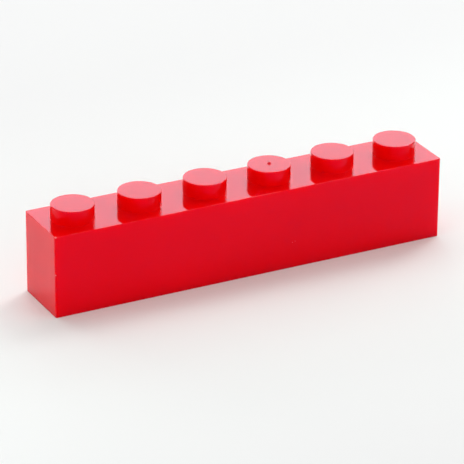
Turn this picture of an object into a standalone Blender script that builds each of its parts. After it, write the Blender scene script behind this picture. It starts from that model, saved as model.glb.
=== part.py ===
"""A toy building brick: six studs in a row, one stud wide, moulded as one hollow piece.

The brick is open below. Its deck carries the studs, and its underside holds a row of
round posts that grip the studs of the brick below against the side walls.
"""

import math

import bmesh
import bpy

# Driving sizes in metres: +X along the row of studs, +Z up, standing on z = 0
STUD_COUNT = 6
PITCH = 0.008
NEIGHBOUR_GAP = 0.0002
BODY_HEIGHT = 0.0096
DECK_THICKNESS = 0.001
STUD_DIAMETER = 0.00488
STUD_HEIGHT = 0.0017
STUD_CAP = 0.0012
CORE_DIAMETER = 0.0026
GRIP = 0.00008
OUTER_RADIUS = 0.0001
UPRIGHT_RADIUS = 0.00025
INNER_RADIUS = 0.0003
STUD_EDGE_RADIUS = 0.0001
POST_EDGE_RADIUS = 0.0001
PIP_STUD = 4
PIP_BASE = 0.0005
PIP_TIP = 0.00014
PIP_HEIGHT = 0.00022

# Facets of the round and rounded forms
ROUND_STEPS = 48
CORE_STEPS = 32
PIP_STEPS = 20
EDGE_SEGMENTS = 3
UPRIGHT_SEGMENTS = 5
SHARP_ANGLE = math.radians(40.0)
MERGE_DISTANCE = 0.000001
CUT_MARGIN = 0.001

# Sizes that follow from the driving ones
BODY_LENGTH = STUD_COUNT * PITCH - NEIGHBOUR_GAP
BODY_WIDTH = PITCH - NEIGHBOUR_GAP
SOCKET_WIDTH = STUD_DIAMETER - GRIP
SOCKET_LENGTH = (STUD_COUNT - 1) * PITCH + SOCKET_WIDTH
POST_DIAMETER = PITCH - SOCKET_WIDTH
CEILING = BODY_HEIGHT - DECK_THICKNESS
STUD_TOP = BODY_HEIGHT + STUD_HEIGHT
FIRST_STUD_X = -0.5 * (STUD_COUNT - 1) * PITCH
FIRST_POST_X = FIRST_STUD_X + 0.5 * PITCH

RED = (0.72, 0.004, 0.012, 1.0)
ROUGHNESS = 0.12


def clear_scene():
    for item in list(bpy.data.objects):
        bpy.data.objects.remove(item, do_unlink=True)


def new_collection(name):
    collection = bpy.data.collections.new(name)
    bpy.context.scene.collection.children.link(collection)
    return collection


def red_plastic():
    material = bpy.data.materials.new("red_gloss_plastic")
    material.use_nodes = True
    shader = material.node_tree.nodes["Principled BSDF"]
    shader.inputs["Base Color"].default_value = RED
    shader.inputs["Roughness"].default_value = ROUGHNESS
    shader.inputs["Metallic"].default_value = 0.0
    return material


def add_object(name, mesh, collection):
    item = bpy.data.objects.new(name, mesh)
    collection.objects.link(item)
    return item


def hide_tool(item):
    item.hide_render = True
    item.display_type = "WIRE"
    return item


def add_block(name, length, width, bottom, top, collection):
    """A box centred on the Z axis, from one height to another."""
    mesh = bpy.data.meshes.new(name)
    block = bmesh.new()
    bmesh.ops.create_cube(block, size=1.0)
    bmesh.ops.scale(block, vec=(length, width, top - bottom), verts=block.verts)
    bmesh.ops.translate(block, vec=(0.0, 0.0, 0.5 * (top + bottom)), verts=block.verts)
    block.to_mesh(mesh)
    block.free()
    return add_object(name, mesh, collection)


def round_upright_edges(item, radius):
    """Rounds a block's four upright edges, which the mould leaves softer than the others."""
    block = bmesh.new()
    block.from_mesh(item.data)
    upright = [edge for edge in block.edges if abs(edge.verts[0].co.z - edge.verts[1].co.z) > MERGE_DISTANCE]
    bmesh.ops.bevel(
        block,
        geom=upright,
        offset=radius,
        offset_type="OFFSET",
        affect="EDGES",
        segments=UPRIGHT_SEGMENTS,
        profile=0.5,
        material=-1,
    )
    block.to_mesh(item.data)
    block.free()


def round_edges(item, radius):
    bevel = item.modifiers.new("rounded_edges", "BEVEL")
    bevel.width = radius
    bevel.segments = EDGE_SEGMENTS
    bevel.limit_method = "ANGLE"
    bevel.angle_limit = math.radians(30.0)


def quarter_arc(radius, start_degrees):
    """Points of a quarter circle about (0, 0), turning clockwise from the start angle."""
    points = []
    for step in range(EDGE_SEGMENTS + 1):
        angle = math.radians(start_degrees - 90.0 * step / EDGE_SEGMENTS)
        points.append((radius * math.cos(angle), radius * math.sin(angle)))
    return points


def rounded_pin(diameter, bottom, top, top_edge=0.0, bottom_edge=0.0):
    """Half outline of a round pin: in from the axis at the top, down the side, back to the axis."""
    radius = 0.5 * diameter
    outline = [(0.0, top)]
    if top_edge > 0.0:
        for x, z in quarter_arc(top_edge, 90.0):
            outline.append((radius - top_edge + x, top - top_edge + z))
    else:
        outline.append((radius, top))
    if bottom_edge > 0.0:
        for x, z in quarter_arc(bottom_edge, 0.0):
            outline.append((radius - bottom_edge + x, bottom + bottom_edge + z))
    else:
        outline.append((radius, bottom))
    outline.append((0.0, bottom))
    return outline


def add_turned_row(name, outline, steps, first_x, count, collection):
    """Turns an outline about the Z axis and repeats it along the brick, one pitch apart."""
    mesh = bpy.data.meshes.new(name)
    points = [(x, 0.0, z) for x, z in outline]
    edges = [(index, index + 1) for index in range(len(points) - 1)]
    mesh.from_pydata(points, edges, [])
    row = add_object(name, mesh, collection)
    row.location.x = first_x
    screw = row.modifiers.new("turn", "SCREW")
    screw.axis = "Z"
    screw.angle = math.radians(360.0)
    screw.steps = steps
    screw.render_steps = steps
    screw.use_merge_vertices = True
    screw.merge_threshold = MERGE_DISTANCE
    screw.use_normal_calculate = False
    array = row.modifiers.new("row", "ARRAY")
    array.fit_type = "FIXED_COUNT"
    array.count = count
    array.use_relative_offset = False
    array.use_constant_offset = True
    array.constant_offset_displace = (PITCH, 0.0, 0.0)
    return hide_tool(row)


def combine(item, tool, operation):
    step = item.modifiers.new(tool.name, "BOOLEAN")
    step.operation = operation
    step.solver = "EXACT"
    step.object = tool


def add_cavity(collection):
    """The space inside the walls, open below and as wide as the grip on a stud needs."""
    cavity = add_block("cavity", SOCKET_LENGTH, SOCKET_WIDTH, -CUT_MARGIN, CEILING, collection)
    round_edges(cavity, INNER_RADIUS)
    return hide_tool(cavity)


def add_studs(collection):
    outline = rounded_pin(STUD_DIAMETER, CEILING + 0.5 * DECK_THICKNESS, STUD_TOP, top_edge=STUD_EDGE_RADIUS)
    return add_turned_row("studs", outline, ROUND_STEPS, FIRST_STUD_X, STUD_COUNT, collection)


def add_posts(collection):
    """Solid posts between the sockets, down to the rim and rooted in the deck."""
    outline = rounded_pin(POST_DIAMETER, 0.0, CEILING + 0.5 * DECK_THICKNESS, bottom_edge=POST_EDGE_RADIUS)
    return add_turned_row("posts", outline, ROUND_STEPS, FIRST_POST_X, STUD_COUNT - 1, collection)


def add_cores(collection):
    """Blind round holes from below that keep the studs' walls even."""
    outline = rounded_pin(CORE_DIAMETER, CEILING - CUT_MARGIN, STUD_TOP - STUD_CAP)
    return add_turned_row("cores", outline, CORE_STEPS, FIRST_STUD_X, STUD_COUNT, collection)


def add_gate_pip(collection):
    """The small cone left on one stud where the plastic entered the mould, rooted in the stud's cap."""
    root = STUD_TOP - 0.5 * STUD_CAP
    outline = [
        (0.0, STUD_TOP + PIP_HEIGHT),
        (0.5 * PIP_TIP, STUD_TOP + PIP_HEIGHT),
        (0.5 * PIP_BASE, STUD_TOP),
        (0.5 * PIP_BASE, root),
        (0.0, root),
    ]
    pip_x = FIRST_STUD_X + (PIP_STUD - 1) * PITCH
    return add_turned_row("gate_pip", outline, PIP_STEPS, pip_x, 1, collection)


def smooth_round_forms(item):
    """Takes the finished shape as the mesh, then shades round forms smooth and leaves corners sharp."""
    shape = item.evaluated_get(bpy.context.evaluated_depsgraph_get())
    item.data = bpy.data.meshes.new_from_object(shape)
    item.modifiers.clear()
    item.data.shade_smooth()
    item.data.set_sharp_from_angle(angle=SHARP_ANGLE)


def build_brick():
    parts = new_collection("toy_building_brick")
    tools = new_collection("brick_cutters")
    brick = add_block("brick", BODY_LENGTH, BODY_WIDTH, 0.0, BODY_HEIGHT, parts)
    round_upright_edges(brick, UPRIGHT_RADIUS)
    round_edges(brick, OUTER_RADIUS)
    combine(brick, add_cavity(tools), "DIFFERENCE")
    combine(brick, add_studs(tools), "UNION")
    combine(brick, add_posts(tools), "UNION")
    combine(brick, add_cores(tools), "DIFFERENCE")
    combine(brick, add_gate_pip(tools), "UNION")
    smooth_round_forms(brick)
    brick.data.materials.clear()
    brick.data.materials.append(red_plastic())
    return brick


def main():
    clear_scene()
    build_brick()


if __name__ == "__main__":
    main()
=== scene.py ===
"""Looks of the six-stud toy brick: its fine moulded shape, glossy red plastic and a plain stage."""

import math

import bmesh
import bpy
from mathutils import Matrix, Vector


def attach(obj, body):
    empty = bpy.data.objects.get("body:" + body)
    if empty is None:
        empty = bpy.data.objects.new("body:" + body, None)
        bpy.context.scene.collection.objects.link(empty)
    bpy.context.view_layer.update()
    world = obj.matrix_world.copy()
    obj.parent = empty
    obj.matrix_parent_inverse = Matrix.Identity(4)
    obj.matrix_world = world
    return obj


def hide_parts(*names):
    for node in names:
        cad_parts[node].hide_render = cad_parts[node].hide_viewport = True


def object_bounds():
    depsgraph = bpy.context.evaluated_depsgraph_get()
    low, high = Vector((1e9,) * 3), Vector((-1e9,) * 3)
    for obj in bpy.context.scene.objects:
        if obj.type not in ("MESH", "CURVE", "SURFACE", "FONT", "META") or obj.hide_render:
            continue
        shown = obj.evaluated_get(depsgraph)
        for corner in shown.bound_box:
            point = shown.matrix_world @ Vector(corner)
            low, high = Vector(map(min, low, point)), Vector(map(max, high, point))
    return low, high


bl_info = {
    "name": "Toy Brick Studio",
    "version": (1, 0, 0),
    "blender": (4, 5, 0),
    "location": "View3D > Sidebar > Toy Brick",
    "description": "Models a six-stud toy brick in glossy red plastic on a white stage",
    "category": "Add Mesh",
}

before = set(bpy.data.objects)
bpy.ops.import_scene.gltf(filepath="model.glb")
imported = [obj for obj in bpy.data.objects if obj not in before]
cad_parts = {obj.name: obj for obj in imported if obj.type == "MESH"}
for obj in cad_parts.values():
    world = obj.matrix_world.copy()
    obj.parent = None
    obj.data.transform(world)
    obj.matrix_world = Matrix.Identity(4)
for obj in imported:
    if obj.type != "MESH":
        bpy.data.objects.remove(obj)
CAD_LOW, CAD_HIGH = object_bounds()

# Lengths are in metres throughout

# Facets and small distances of the fine mesh
ROUND_STEPS = 128
CORE_STEPS = 64
PIP_STEPS = 32
EDGE_SEGMENTS = 6
UPRIGHT_SEGMENTS = 10
SHARP_ANGLE = math.radians(40.0)
MERGE_DISTANCE = 0.0000005
CUT_MARGIN = 0.001

# How much of the fillet at a stud's foot stands above the deck; the rest is sunk, so that no
# face of the stud lies on the deck
FOOT_SEAT = 0.95

# Sizes of the plastic's noise: waves of moulded faces, clouds in the finish, specks of wear
WAVE_SIZE = 0.0052
CLOUD_SIZE = 0.013
SPECK_SIZE = 0.0007

# Hairlines are thin sheets of noise: their two lengths and thickness, the turns of their three
# sets in radians, and the noise between which they set in
HAIR_SIZE = (0.009, 0.009, 0.00011)
HAIR_TURNS = ((0.7, 0.4, 0.3), (-0.6, 0.8, 1.1), (1.9, 0.5, -0.4))
HAIR_NOISE = (0.69, 0.76)

# Darker clouds: the noise between which they set in, and the brightness that they keep
CLOUD_NOISE = (0.35, 0.65)
CLOUD_SHADE = 0.95

# Wear: distances from an outer edge at which it starts and is full, the noise between which
# its specks set in, and its share of the colour
WORN_REACH = (0.00016, 0.00004)
WORN_NOISE = (0.42, 0.66)
WORN_SHARE = 0.03

# The nicks are dents whose pale spots are partly whitened plastic and partly a painted glint
# Small nicks that the photograph shows: place on the brick and radius
NICKS = (
    ((-0.02242, 0.00388, 0.00958), 0.00014),
    ((-0.02383, -0.00383, 0.0051), 0.00011),
    ((-0.02378, -0.00385, 0.00956), 0.00013),
    ((0.00500, -0.0039, 0.00308), 0.00005),
    ((0.00532, -0.0039, 0.00318), 0.00007),
)

# Nicks: distances, in radii of the nick, at which one starts and is full, the noise and the
# radii between which its outline wanders, and its share of the pale colour, which is partly
# whitened plastic and partly a painted glint
NICK_REACH = (1.0, 0.7)
NICK_OUTLINE = (0.3, 0.7, -0.35, 0.35)
NICK_AND_GLINT_SHARE = 0.5

# Distances from the gate pip's tip at which its torn plastic starts and is full
TORN_REACH = (0.00038, 0.00033)

# The inside starts this deep behind the outer faces, and this deep below the deck
INSIDE_WALLS = (0.0012, 0.0014)
INSIDE_DECK = (0.0003, 0.0006)

# What each mark adds to the clean surface's roughness; clouds as noise and roughness
CLOUD_ROUGHNESS = (0.4, 0.7, 0.0, 0.012)
HAIR_ROUGHNESS = 0.05
WORN_ROUGHNESS = 0.08
NICK_ROUGHNESS = 0.3
INSIDE_ROUGHNESS = 0.12
TORN_ROUGHNESS = 0.3

# Refraction of the plastic, and how far red, green and blue light spread inside it, as shares
REFRACTION = 1.54
GLOW_SPREAD = (1.0, 0.2, 0.2)

# Photograph's frame, and what the camera can see
PHOTO_PIXELS = 464
SENSOR_WIDTH = 36.0
CLIP_START = 0.01
CLIP_END = 20.0

# Floor: its size, its colours along the brick and away from it, which paint light on it (paler
# along the brick, lightening its shadow, and darker further off as painted shade), and the
# distances between which one fades into the other
FLOOR_RADIUS = 3.0
FLOOR_SEGMENTS = 96
FLOOR_PAINTED_LIGHT_NEAR = (0.876, 0.893, 0.878, 1.0)
FLOOR_PAINTED_SHADE_FAR = (0.820, 0.820, 0.814, 1.0)
FLOOR_FADE = (0.015, 0.06)

# Sines of the heights at which the backdrop starts and is full, counted downwards
HORIZON = (0.34, 0.12)

# Softboxes: bearing from +Y towards +X and height above the floor in degrees; distance,
# width and depth; brightness and colour
WHITE = (1.0, 1.0, 1.0)
FAINTLY_BLUE = (0.84, 1.0, 1.07)
SOFTBOXES = {
    "softbox_above": (18.0, 62.0, 1.0, 1.30, 0.62, 1.30, WHITE),
    "softbox_behind": (27.0, 24.0, 1.0, 0.60, 0.34, 2.14, FAINTLY_BLUE),
    "softbox_backdrop": (0.0, 12.0, 1.0, 0.90, 0.36, 3.40, WHITE),
    "softbox_front": (190.0, 14.0, 1.0, 1.10, 0.42, 1.46, WHITE),
    "softbox_front_right": (140.0, 16.0, 0.35, 0.20, 0.15, 2.20, WHITE),
    "softbox_left": (265.0, 14.0, 1.0, 0.90, 0.42, 2.65, WHITE),
    "softbox_right_low": (60.0, 20.0, 1.0, 0.30, 0.30, 4.00, WHITE),
    "softbox_right_high": (60.0, 50.0, 1.0, 0.30, 0.30, 5.30, WHITE),
}


def length_setting(name, description, default):
    return bpy.props.FloatProperty(
        name=name, description=description, default=default, unit="LENGTH"
    )


def place_setting(name, description, default):
    return bpy.props.FloatVectorProperty(
        name=name, description=description, default=default,
        size=3, subtype="TRANSLATION", unit="LENGTH",
    )


def colour_setting(name, description, default):
    return bpy.props.FloatVectorProperty(
        name=name, description=description, default=default,
        size=3, min=0.0, max=1.0, subtype="COLOR",
    )


class BrickShape(bpy.types.PropertyGroup):
    """Sizes of the brick; its length, width and height come from the frame."""

    stud_count: bpy.props.IntProperty(
        name="Studs", description="Studs in the row", default=6, min=1
    )
    pitch: length_setting("Pitch", "Distance between studs", 0.008)
    deck_thickness: length_setting("Deck", "Thickness of the deck", 0.001)
    stud_diameter: length_setting("Stud diameter", "Across a stud", 0.00488)
    stud_height: length_setting("Stud height", "From deck to stud top", 0.0017)
    stud_cap: length_setting("Stud cap", "Plastic above a stud's core", 0.0012)
    core_diameter: length_setting("Core", "Across the blind core under a stud", 0.0026)
    grip: length_setting("Grip", "Squeeze of a socket on a stud", 0.00008)
    outer_radius: length_setting("Outer radius", "Rounding of outer edges", 0.00005)
    upright_radius: length_setting(
        "Upright radius", "Rounding of the four upright edges", 0.00025
    )
    inner_radius: length_setting("Inner radius", "Rounding inside the cavity", 0.0003)
    stud_edge: length_setting("Stud edge", "Rounding of a stud's top edge", 0.0001)
    stud_foot: length_setting("Stud foot", "Fillet where a stud meets the deck", 0.00001)
    post_edge: length_setting("Post edge", "Rounding of a post's lower end", 0.0001)
    pip_stud: bpy.props.IntProperty(
        name="Pip stud", description="Which stud has the gate pip", default=4, min=1
    )
    pip_base: length_setting("Pip base", "Across the gate pip where it stands", 0.0005)
    pip_tip: length_setting("Pip tip", "Across the gate pip at its top", 0.00014)
    pip_height: length_setting("Pip height", "How far the gate pip stands up", 0.00022)


class PlasticLook(bpy.types.PropertyGroup):
    """Finish of the solid-coloured, high-gloss moulded plastic."""

    colour: colour_setting("Colour", "Colour of the plastic", (0.71, 0.0004, 0.0008))
    gloss_tint: colour_setting(
        "Gloss tint", "Colour of reflections seen face on", (0.0, 0.05, 0.34)
    )
    roughness: bpy.props.FloatProperty(
        name="Roughness", description="Of the clean moulded surface", default=0.02,
        subtype="FACTOR",
    )
    # Pale colour of rubbed edges and of the nicks, where it is partly a painted glint
    worn_and_glint_colour: colour_setting(
        "Worn colour", "Whitened plastic at rubbed edges and nicks", (0.90, 0.42, 0.38)
    )
    torn_colour: colour_setting(
        "Torn colour", "Rough plastic of the gate pip", (0.53, 0.014, 0.018)
    )
    wave_height: length_setting(
        "Waves", "Height of the faint waves in moulded faces", 0.000004
    )
    hair_depth: length_setting("Hairlines", "Depth of fine scratches", 0.0000004)
    nick_depth: length_setting("Nicks", "Depth of the small nicks", 0.00003)
    depth_of_glow: length_setting("Glow", "How far light spreads inside the plastic", 0.0020)


class StageLook(bpy.types.PropertyGroup):
    """Camera and surround."""

    camera_place: place_setting(
        "Camera", "Where the camera stands", (-0.152425, -0.291091, 0.155245)
    )
    camera_aim: place_setting(
        "Aim", "Point in the middle of the picture", (0.00022, 0.001497, 0.003101)
    )
    camera_roll: bpy.props.FloatProperty(
        name="Roll", description="Turn about the line of sight", default=math.radians(0.498),
        subtype="ANGLE",
    )
    focal_pixels: bpy.props.FloatProperty(
        name="Focal length", description="In pixels of the photograph", default=3247.5
    )
    fill: bpy.props.FloatProperty(
        name="Fill", description="Brightness of the surround as a light", default=0.48, min=0.0
    )
    backdrop_colour: colour_setting(
        "Backdrop", "Colour behind the floor", (0.95, 0.95, 0.95)
    )


def new_object(name, shape):
    """Turns a bmesh into an object and frees it."""
    mesh = bpy.data.meshes.new(name)
    shape.to_mesh(mesh)
    shape.free()
    item = bpy.data.objects.new(name, mesh)
    bpy.context.scene.collection.objects.link(item)
    return item


def round_edges(block, edges, radius, segments):
    bmesh.ops.bevel(
        block, geom=edges, offset=radius, offset_type="OFFSET", affect="EDGES",
        segments=segments, profile=0.5, material=-1,
    )


def is_upright(edge):
    low, high = edge.verts
    return abs(low.co.z - high.co.z) > MERGE_DISTANCE


def rounded_block(length, width, bottom, top, radius, upright_radius=0.0):
    """A box centred on the Z axis with rounded edges, its upright ones softer where asked."""
    block = bmesh.new()
    bmesh.ops.create_cube(block, size=1.0)
    bmesh.ops.scale(block, vec=(length, width, top - bottom), verts=block.verts)
    bmesh.ops.translate(block, vec=(0.0, 0.0, 0.5 * (top + bottom)), verts=block.verts)
    if upright_radius > 0.0:
        upright = [edge for edge in block.edges if is_upright(edge)]
        round_edges(block, upright, upright_radius, UPRIGHT_SEGMENTS)
    sharp = [edge for edge in block.edges if edge.calc_face_angle() > SHARP_ANGLE]
    round_edges(block, sharp, radius, EDGE_SEGMENTS)
    return block


def quarter_arc(radius, start_degrees):
    """Points of a quarter circle about (0, 0), turning clockwise from the start angle."""
    points = []
    for step in range(EDGE_SEGMENTS + 1):
        angle = math.radians(start_degrees - 90.0 * step / EDGE_SEGMENTS)
        points.append((radius * math.cos(angle), radius * math.sin(angle)))
    return points


def pin_outline(diameter, bottom, top, bottom_edge=0.0):
    """Half outline of a round pin, from the axis at the top, down the side, to the axis."""
    radius = 0.5 * diameter
    outline = [(0.0, top), (radius, top)]
    if bottom_edge > 0.0:
        for x, z in quarter_arc(bottom_edge, 0.0):
            outline.append((radius - bottom_edge + x, bottom + bottom_edge + z))
    else:
        outline.append((radius, bottom))
    outline.append((0.0, bottom))
    return outline


def stud_outline(shape, top, deck, root):
    """Half outline of a stud: rounded top edge, straight side and a tiny fillet on the deck."""
    radius = 0.5 * shape.stud_diameter
    outline = [(0.0, top)]
    for x, z in quarter_arc(shape.stud_edge, 90.0):
        outline.append((radius - shape.stud_edge + x, top - shape.stud_edge + z))
    for x, z in reversed(quarter_arc(shape.stud_foot, 270.0)):
        outline.append((radius + shape.stud_foot + x, deck + FOOT_SEAT * shape.stud_foot + z))
    outline.append((radius + shape.stud_foot, root))
    outline.append((0.0, root))
    return outline


def pip_outline(shape, stud_top, root):
    """Half outline of the small cone left where the plastic entered the mould."""
    return [
        (0.0, CAD_HIGH.z),
        (0.5 * shape.pip_tip, CAD_HIGH.z),
        (0.5 * shape.pip_base, stud_top),
        (0.5 * shape.pip_base, root),
        (0.0, root),
    ]


def pin_row(outline, steps, places):
    """Spins a half outline about Z and repeats the pin at each place along X."""
    row = bmesh.new()
    for place in places:
        before = set(row.verts)
        corners = [row.verts.new((x, 0.0, z)) for x, z in outline]
        edges = [row.edges.new(pair) for pair in zip(corners, corners[1:])]
        bmesh.ops.spin(
            row, geom=corners + edges, cent=(0.0, 0.0, 0.0), axis=(0.0, 0.0, 1.0),
            dvec=(0.0, 0.0, 0.0), angle=math.tau, steps=steps, use_merge=True,
            use_duplicate=False,
        )
        fresh = [vert for vert in row.verts if vert not in before]
        bmesh.ops.translate(row, vec=(place, 0.0, 0.0), verts=fresh)
    bmesh.ops.remove_doubles(row, verts=row.verts, dist=MERGE_DISTANCE)
    bmesh.ops.recalc_face_normals(row, faces=row.faces)
    return row


def combine(item, tool, operation):
    step = item.modifiers.new(tool.name, "BOOLEAN")
    step.operation = operation
    step.solver = "EXACT"
    step.object = tool


def settle(item, tools):
    """Applies the item's modifiers and removes the tool objects."""
    graph = bpy.context.evaluated_depsgraph_get()
    mesh = bpy.data.meshes.new_from_object(item.evaluated_get(graph))
    item.modifiers.clear()
    item.data = mesh
    for tool in tools:
        bpy.data.objects.remove(tool, do_unlink=True)


def smooth_moulding(item):
    """Shades round forms smooth; where a small face meets a large flat one, the large one rules."""
    item.data.shade_smooth()
    item.data.set_sharp_from_angle(angle=SHARP_ANGLE)
    shape = bmesh.new()
    shape.from_mesh(item.data)
    area = {face: face.calc_area() for face in shape.faces}
    normals = []
    for face in shape.faces:
        for corner in face.loops:
            blend = Vector()
            for other in corner.vert.link_faces:
                if other.normal.angle(face.normal) < SHARP_ANGLE:
                    blend += other.normal * area[other]
            normals.append(blend.normalized())
    shape.free()
    item.data.normals_split_custom_set(normals)


def levels(shape):
    """Heights of the deck and of the stud tops, counted down from the frame's top."""
    stud_top = CAD_HIGH.z - shape.pip_height
    return stud_top - shape.stud_height, stud_top


def stud_row(shape):
    """Places of the studs along X."""
    count = shape.stud_count
    return [(n - 0.5 * (count - 1)) * shape.pitch for n in range(count)]


def model_brick(shape):
    length = CAD_HIGH.x - CAD_LOW.x
    width = CAD_HIGH.y - CAD_LOW.y
    deck, stud_top = levels(shape)
    ceiling = deck - shape.deck_thickness
    root = ceiling + 0.5 * shape.deck_thickness
    socket = shape.stud_diameter - shape.grip
    cavity_length = (shape.stud_count - 1) * shape.pitch + socket
    stud_places = stud_row(shape)
    post_places = [place + 0.5 * shape.pitch for place in stud_places[:-1]]
    pip_place = stud_places[shape.pip_stud - 1]

    block = rounded_block(
        length, width, CAD_LOW.z, deck, shape.outer_radius, shape.upright_radius
    )
    space = rounded_block(
        cavity_length, socket, CAD_LOW.z - CUT_MARGIN, ceiling, shape.inner_radius
    )
    stud = stud_outline(shape, stud_top, deck, root)
    post = pin_outline(shape.pitch - socket, CAD_LOW.z, root, shape.post_edge)
    core = pin_outline(shape.core_diameter, ceiling - CUT_MARGIN, stud_top - shape.stud_cap)
    pip = pip_outline(shape, stud_top, stud_top - 0.5 * shape.stud_cap)

    brick = new_object("moulded_brick", block)
    cavity = new_object("cavity", space)
    studs = new_object("studs", pin_row(stud, ROUND_STEPS, stud_places))
    posts = new_object("posts", pin_row(post, ROUND_STEPS, post_places))
    cores = new_object("cores", pin_row(core, CORE_STEPS, stud_places))
    gate_pip = new_object("gate_pip", pin_row(pip, PIP_STEPS, [pip_place]))

    combine(brick, cavity, "DIFFERENCE")
    combine(brick, studs, "UNION")
    combine(brick, posts, "UNION")
    combine(brick, cores, "DIFFERENCE")
    combine(brick, gate_pip, "UNION")
    settle(brick, [cavity, studs, posts, cores, gate_pip])
    smooth_moulding(brick)
    return brick


def add_node(tree, kind, inputs, **settings):
    """Adds a node whose inputs are given as values or as other nodes' outputs."""
    item = tree.nodes.new("ShaderNode" + kind)
    for name, value in settings.items():
        setattr(item, name, value)
    for key, value in inputs.items():
        if isinstance(value, bpy.types.NodeSocket):
            tree.links.new(value, item.inputs[key])
        else:
            item.inputs[key].default_value = value
    return item


def calculate(tree, operation, *values):
    """Joins two or more values by one arithmetic operation."""
    total = values[0]
    for value in values[1:]:
        step = add_node(tree, "Math", {0: total, 1: value}, operation=operation)
        total = step.outputs["Value"]
    return total


def absolute(tree, value):
    return add_node(tree, "Math", {0: value}, operation="ABSOLUTE").outputs["Value"]


def distance(tree, place, spot):
    away = add_node(tree, "VectorMath", {0: place, 1: spot}, operation="DISTANCE")
    return away.outputs["Value"]


def ramp(tree, value, start, end, low=0.0, high=1.0):
    """Maps a value smoothly from one range to another; start may be above end."""
    inputs = {"Value": value, "From Min": start, "From Max": end, "To Min": low, "To Max": high}
    return add_node(tree, "MapRange", inputs, interpolation_type="SMOOTHSTEP").outputs["Result"]


def mix_colours(tree, share, start, end):
    """Mixes two colours, each given as four values or as another node's output."""
    inputs = {"Factor": share, "A": start, "B": end}
    return add_node(tree, "Mix", inputs, data_type="RGBA").outputs["Result"]


def blotches(tree, place, size, detail=2.0):
    """Noise between about 0.2 and 0.8 with blotches of the given size."""
    inputs = {"Vector": place, "Scale": 1.0 / size, "Detail": detail}
    return add_node(tree, "TexNoise", inputs).outputs["Fac"]


def scratches(tree, place, turn):
    """Sparse straight hairlines: sheets of noise in a turned frame, seen as lines on a face."""
    inputs = {"Vector": place, "Rotation": turn, "Scale": HAIR_SIZE}
    turned = add_node(tree, "Mapping", inputs, vector_type="TEXTURE").outputs["Vector"]
    noise = add_node(tree, "TexNoise", {"Vector": turned, "Scale": 1.0, "Detail": 0.0})
    return ramp(tree, noise.outputs["Fac"], *HAIR_NOISE)


def bump(tree, height, depth, normal=None):
    """Raises the surface by up to the given depth; a second bump goes on top of the first."""
    inputs = {"Height": height, "Distance": depth}
    if normal is not None:
        inputs["Normal"] = normal
    return add_node(tree, "Bump", inputs).outputs["Normal"]


def brick_zones(tree, place, shape):
    """How far a point lies from the nearest outer edge, and whether it is inside the brick.

    An edge is where two faces meet, so the distance from it is the larger of the distances
    from the two faces.
    """
    axes = add_node(tree, "SeparateXYZ", {"Vector": place})
    x, y, z = (axes.outputs[name] for name in "XYZ")
    deck, stud_top = levels(shape)

    from_end = calculate(tree, "SUBTRACT", CAD_HIGH.x, absolute(tree, x))
    from_side = calculate(tree, "SUBTRACT", CAD_HIGH.y, absolute(tree, y))
    below_deck = calculate(tree, "SUBTRACT", deck, z)
    above_rim = calculate(tree, "SUBTRACT", z, CAD_LOW.z)
    from_level = calculate(tree, "MINIMUM", below_deck, above_rim)
    nearer = calculate(tree, "MINIMUM", from_end, from_side)
    farther = calculate(tree, "MAXIMUM", from_end, from_side)
    level_or_upright = calculate(tree, "MINIMUM", farther, from_level)
    block_edge = calculate(tree, "MAXIMUM", nearer, level_or_upright)

    from_first_stud = calculate(tree, "SUBTRACT", x, stud_row(shape)[0])
    limits = {0: from_first_stud, 1: 0.5 * shape.pitch, 2: -0.5 * shape.pitch}
    from_stud_axis = add_node(tree, "Math", limits, operation="WRAP").outputs["Value"]
    across = calculate(tree, "MULTIPLY", from_stud_axis, from_stud_axis)
    along = calculate(tree, "MULTIPLY", y, y)
    radius = calculate(tree, "POWER", calculate(tree, "ADD", across, along), 0.5)
    from_stud_side = calculate(tree, "SUBTRACT", 0.5 * shape.stud_diameter, radius)
    from_stud_top = calculate(tree, "SUBTRACT", stud_top, z)
    stud_edge = calculate(tree, "MAXIMUM", from_stud_side, from_stud_top)

    behind_walls = ramp(tree, nearer, *INSIDE_WALLS)
    under_deck = ramp(tree, below_deck, *INSIDE_DECK)
    inside = calculate(tree, "MULTIPLY", behind_walls, under_deck)
    return calculate(tree, "MINIMUM", block_edge, stud_edge), inside


def nick_and_glint_mask(tree, place, specks):
    """1 in a nick and 0 elsewhere; specks make the nick's outline wander. The nick's pale spot is
    partly a painted glint.
    """
    shares = [
        calculate(tree, "DIVIDE", distance(tree, place, spot), radius)
        for spot, radius in NICKS
    ]
    nearest = calculate(tree, "MINIMUM", *shares)
    ragged = calculate(tree, "ADD", nearest, ramp(tree, specks, *NICK_OUTLINE))
    return ramp(tree, ragged, *NICK_REACH)


def torn_mask(tree, place, shape):
    """1 on the gate pip, where the plastic was torn off, and 0 elsewhere."""
    tip = (stud_row(shape)[shape.pip_stud - 1], 0.0, CAD_HIGH.z)
    return ramp(tree, distance(tree, place, tip), *TORN_REACH)


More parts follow.
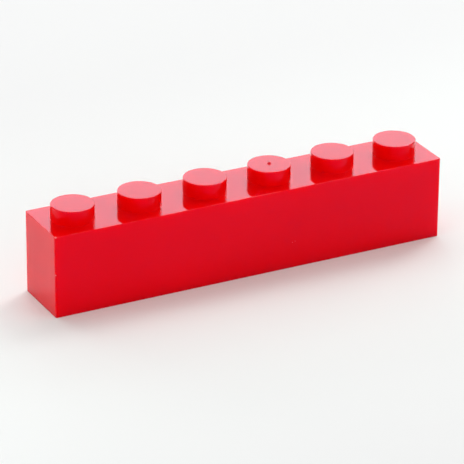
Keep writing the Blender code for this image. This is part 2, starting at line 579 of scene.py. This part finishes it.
def red_plastic(look, shape):
    """Glossy red plastic with faint waves, hairlines, softly worn edges and a few pale nicks, whose
    paleness is partly whitened plastic and partly a painted glint.
    """
    material = bpy.data.materials.new("red_gloss_plastic")
    material.use_nodes = True
    tree = material.node_tree
    shader = tree.nodes["Principled BSDF"]
    place = add_node(tree, "TexCoord", {}).outputs["Object"]

    waves = blotches(tree, place, WAVE_SIZE, 1.0)
    clouds = blotches(tree, place, CLOUD_SIZE)
    specks = blotches(tree, place, SPECK_SIZE)
    hairs = calculate(tree, "MAXIMUM", *(scratches(tree, place, turn) for turn in HAIR_TURNS))
    rim, inside = brick_zones(tree, place, shape)
    worn = calculate(
        tree, "MULTIPLY", ramp(tree, rim, *WORN_REACH), ramp(tree, specks, *WORN_NOISE)
    )
    nicked_with_glint = nick_and_glint_mask(tree, place, specks)
    torn = torn_mask(tree, place, shape)

    clean_colour = (*look.colour, 1.0)
    cloud_colour = (*(CLOUD_SHADE * part for part in look.colour), 1.0)
    worn_and_glint_colour = (*look.worn_and_glint_colour, 1.0)
    clouded = mix_colours(tree, ramp(tree, clouds, *CLOUD_NOISE), clean_colour, cloud_colour)
    worn_share = calculate(tree, "MULTIPLY", worn, WORN_SHARE)
    rubbed = mix_colours(tree, worn_share, clouded, worn_and_glint_colour)
    # Painted glint: the nicks' pale spots, partly whitened plastic
    nick_and_glint_share = calculate(tree, "MULTIPLY", nicked_with_glint, NICK_AND_GLINT_SHARE)
    chipped_with_glint = mix_colours(tree, nick_and_glint_share, rubbed, worn_and_glint_colour)
    finished = mix_colours(tree, torn, chipped_with_glint, (*look.torn_colour, 1.0))
    tree.links.new(finished, shader.inputs["Base Color"])

    dull = calculate(
        tree, "ADD", look.roughness,
        ramp(tree, clouds, *CLOUD_ROUGHNESS),
        calculate(tree, "MULTIPLY", hairs, HAIR_ROUGHNESS),
        calculate(tree, "MULTIPLY", worn, WORN_ROUGHNESS),
        calculate(tree, "MULTIPLY", nicked_with_glint, NICK_ROUGHNESS),
        calculate(tree, "MULTIPLY", inside, INSIDE_ROUGHNESS),
        calculate(tree, "MULTIPLY", torn, TORN_ROUGHNESS),
    )
    tree.links.new(dull, shader.inputs["Roughness"])

    wavy = bump(tree, waves, look.wave_height)
    haired = bump(tree, hairs, -look.hair_depth, wavy)
    dented = bump(tree, nicked_with_glint, -look.nick_depth, haired)
    tree.links.new(dented, shader.inputs["Normal"])

    shader.inputs["IOR"].default_value = REFRACTION
    shader.inputs["Specular Tint"].default_value = (*look.gloss_tint, 1.0)
    shader.subsurface_method = "BURLEY"
    shader.inputs["Subsurface Weight"].default_value = 1.0
    shader.inputs["Subsurface Radius"].default_value = GLOW_SPREAD
    shader.inputs["Subsurface Scale"].default_value = look.depth_of_glow
    return material


def aim_camera(look):
    data = bpy.data.cameras.new("camera")
    camera = bpy.data.objects.new("camera", data)
    bpy.context.scene.collection.objects.link(camera)
    data.sensor_fit = "HORIZONTAL"
    data.sensor_width = SENSOR_WIDTH
    data.lens = look.focal_pixels / PHOTO_PIXELS * SENSOR_WIDTH
    data.clip_start = CLIP_START
    data.clip_end = CLIP_END
    place = Vector(look.camera_place)
    sight = Vector(look.camera_aim) - place
    turn = sight.to_track_quat("-Z", "Y").to_matrix().to_4x4()
    roll = Matrix.Rotation(look.camera_roll, 4, "Z")
    camera.matrix_world = Matrix.Translation(place) @ turn @ roll
    bpy.context.scene.camera = camera


def white_floor():
    """Matt white with painted light, a little paler along the brick than in front of it and behind
    it.
    """
    material = bpy.data.materials.new("white_floor")
    material.use_nodes = True
    tree = material.node_tree
    shader = tree.nodes["Principled BSDF"]
    place = add_node(tree, "TexCoord", {}).outputs["Object"]
    across = add_node(tree, "SeparateXYZ", {"Vector": place}).outputs["Y"]
    share = ramp(tree, absolute(tree, across), *FLOOR_FADE)
    # Painted light: paler along the brick, darker further off as painted shade
    tree.links.new(mix_colours(tree, share, FLOOR_PAINTED_LIGHT_NEAR, FLOOR_PAINTED_SHADE_FAR), shader.inputs["Base Color"])
    shader.inputs["Roughness"].default_value = 1.0
    shader.inputs["Specular IOR Level"].default_value = 0.0
    return material


def lay_floor():
    shape = bmesh.new()
    bmesh.ops.create_circle(shape, cap_ends=True, segments=FLOOR_SEGMENTS, radius=FLOOR_RADIUS)
    bmesh.ops.translate(shape, vec=(0.0, 0.0, CAD_LOW.z), verts=shape.verts)
    floor = new_object("floor", shape)
    floor.data.materials.append(white_floor())


def light_world(look):
    """A plain surround, which the camera and mirror images see as a pale backdrop low down."""
    world = bpy.data.worlds.new("studio_surround")
    bpy.context.scene.world = world
    world.use_nodes = True
    tree = world.node_tree
    fill = tree.nodes["Background"]
    fill.inputs["Color"].default_value = (1.0, 1.0, 1.0, 1.0)
    fill.inputs["Strength"].default_value = look.fill
    backdrop = add_node(tree, "Background", {"Color": (*look.backdrop_colour, 1.0)})
    path = add_node(tree, "LightPath", {}).outputs
    rays = (path["Is Camera Ray"], path["Is Glossy Ray"], path["Is Transmission Ray"])
    towards = add_node(tree, "TexCoord", {}).outputs["Generated"]
    upward = add_node(tree, "SeparateXYZ", {"Vector": towards}).outputs["Z"]
    shown = calculate(tree, "MAXIMUM", *rays)
    share = calculate(tree, "MULTIPLY", shown, ramp(tree, upward, *HORIZON))
    inputs = {0: share, 1: fill.outputs["Background"], 2: backdrop.outputs["Background"]}
    surround = add_node(tree, "MixShader", inputs).outputs["Shader"]
    tree.links.new(surround, tree.nodes["World Output"].inputs["Surface"])


def hang_softbox(name, bearing, height, away, width, depth, brightness, colour):
    """A rectangular lamp that faces the brick; its brightness is per area."""
    data = bpy.data.lights.new(name, "AREA")
    data.shape = "RECTANGLE"
    data.size = width
    data.size_y = depth
    data.energy = brightness * math.pi * width * depth
    data.color = colour
    lamp = bpy.data.objects.new(name, data)
    bpy.context.scene.collection.objects.link(lamp)
    level = math.cos(height)
    outward = Vector((math.sin(bearing) * level, math.cos(bearing) * level, math.sin(height)))
    lamp.location = Vector((0.0, 0.0, 0.5 * CAD_HIGH.z)) + outward * away
    lamp.rotation_euler = (-outward).to_track_quat("-Z", "Y").to_euler()
    lamp.visible_camera = False


def hang_lamps():
    for name, (bearing, height, *rest) in SOFTBOXES.items():
        hang_softbox(name, math.radians(bearing), math.radians(height), *rest)


class TOYBRICK_OT_brick(bpy.types.Operator):
    """Model the brick and give it its glossy plastic"""

    bl_idname = "toybrick.brick"
    bl_label = "Moulded Brick"
    bl_options = {"REGISTER", "UNDO"}

    def execute(self, context):
        shape = context.scene.toybrick_shape
        brick = model_brick(shape)
        brick.data.materials.clear()
        brick.data.materials.append(red_plastic(context.scene.toybrick_plastic, shape))
        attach(brick, "root")
        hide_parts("brick")
        return {"FINISHED"}


class TOYBRICK_OT_stage(bpy.types.Operator):
    """Set up the camera, the white floor and the light"""

    bl_idname = "toybrick.stage"
    bl_label = "Camera, Floor and Light"
    bl_options = {"REGISTER", "UNDO"}

    def execute(self, context):
        look = context.scene.toybrick_stage
        aim_camera(look)
        lay_floor()
        light_world(look)
        hang_lamps()
        context.scene.view_settings.view_transform = "Standard"
        return {"FINISHED"}


class TOYBRICK_PT_panel(bpy.types.Panel):
    """Lists the brick's settings and operators"""

    bl_label = "Toy Brick"
    bl_idname = "TOYBRICK_PT_panel"
    bl_space_type = "VIEW_3D"
    bl_region_type = "UI"
    bl_category = "Toy Brick"

    def draw(self, context):
        layout = self.layout
        for group in SETTINGS:
            box = layout.box()
            settings = getattr(context.scene, group)
            for name in settings.__annotations__:
                box.prop(settings, name)
        for operator in OPERATORS:
            layout.operator(operator.bl_idname)


SETTINGS = {
    "toybrick_shape": BrickShape,
    "toybrick_plastic": PlasticLook,
    "toybrick_stage": StageLook,
}
OPERATORS = (TOYBRICK_OT_stage, TOYBRICK_OT_brick)
CLASSES = (*SETTINGS.values(), *OPERATORS, TOYBRICK_PT_panel)


def register():
    for item in CLASSES:
        bpy.utils.register_class(item)
    for name, group in SETTINGS.items():
        setattr(bpy.types.Scene, name, bpy.props.PointerProperty(type=group))


def unregister():
    for name in SETTINGS:
        delattr(bpy.types.Scene, name)
    for item in reversed(CLASSES):
        bpy.utils.unregister_class(item)


def main():
    register()
    bpy.ops.toybrick.stage()
    bpy.ops.toybrick.brick()


if __name__ == "__main__":
    main()
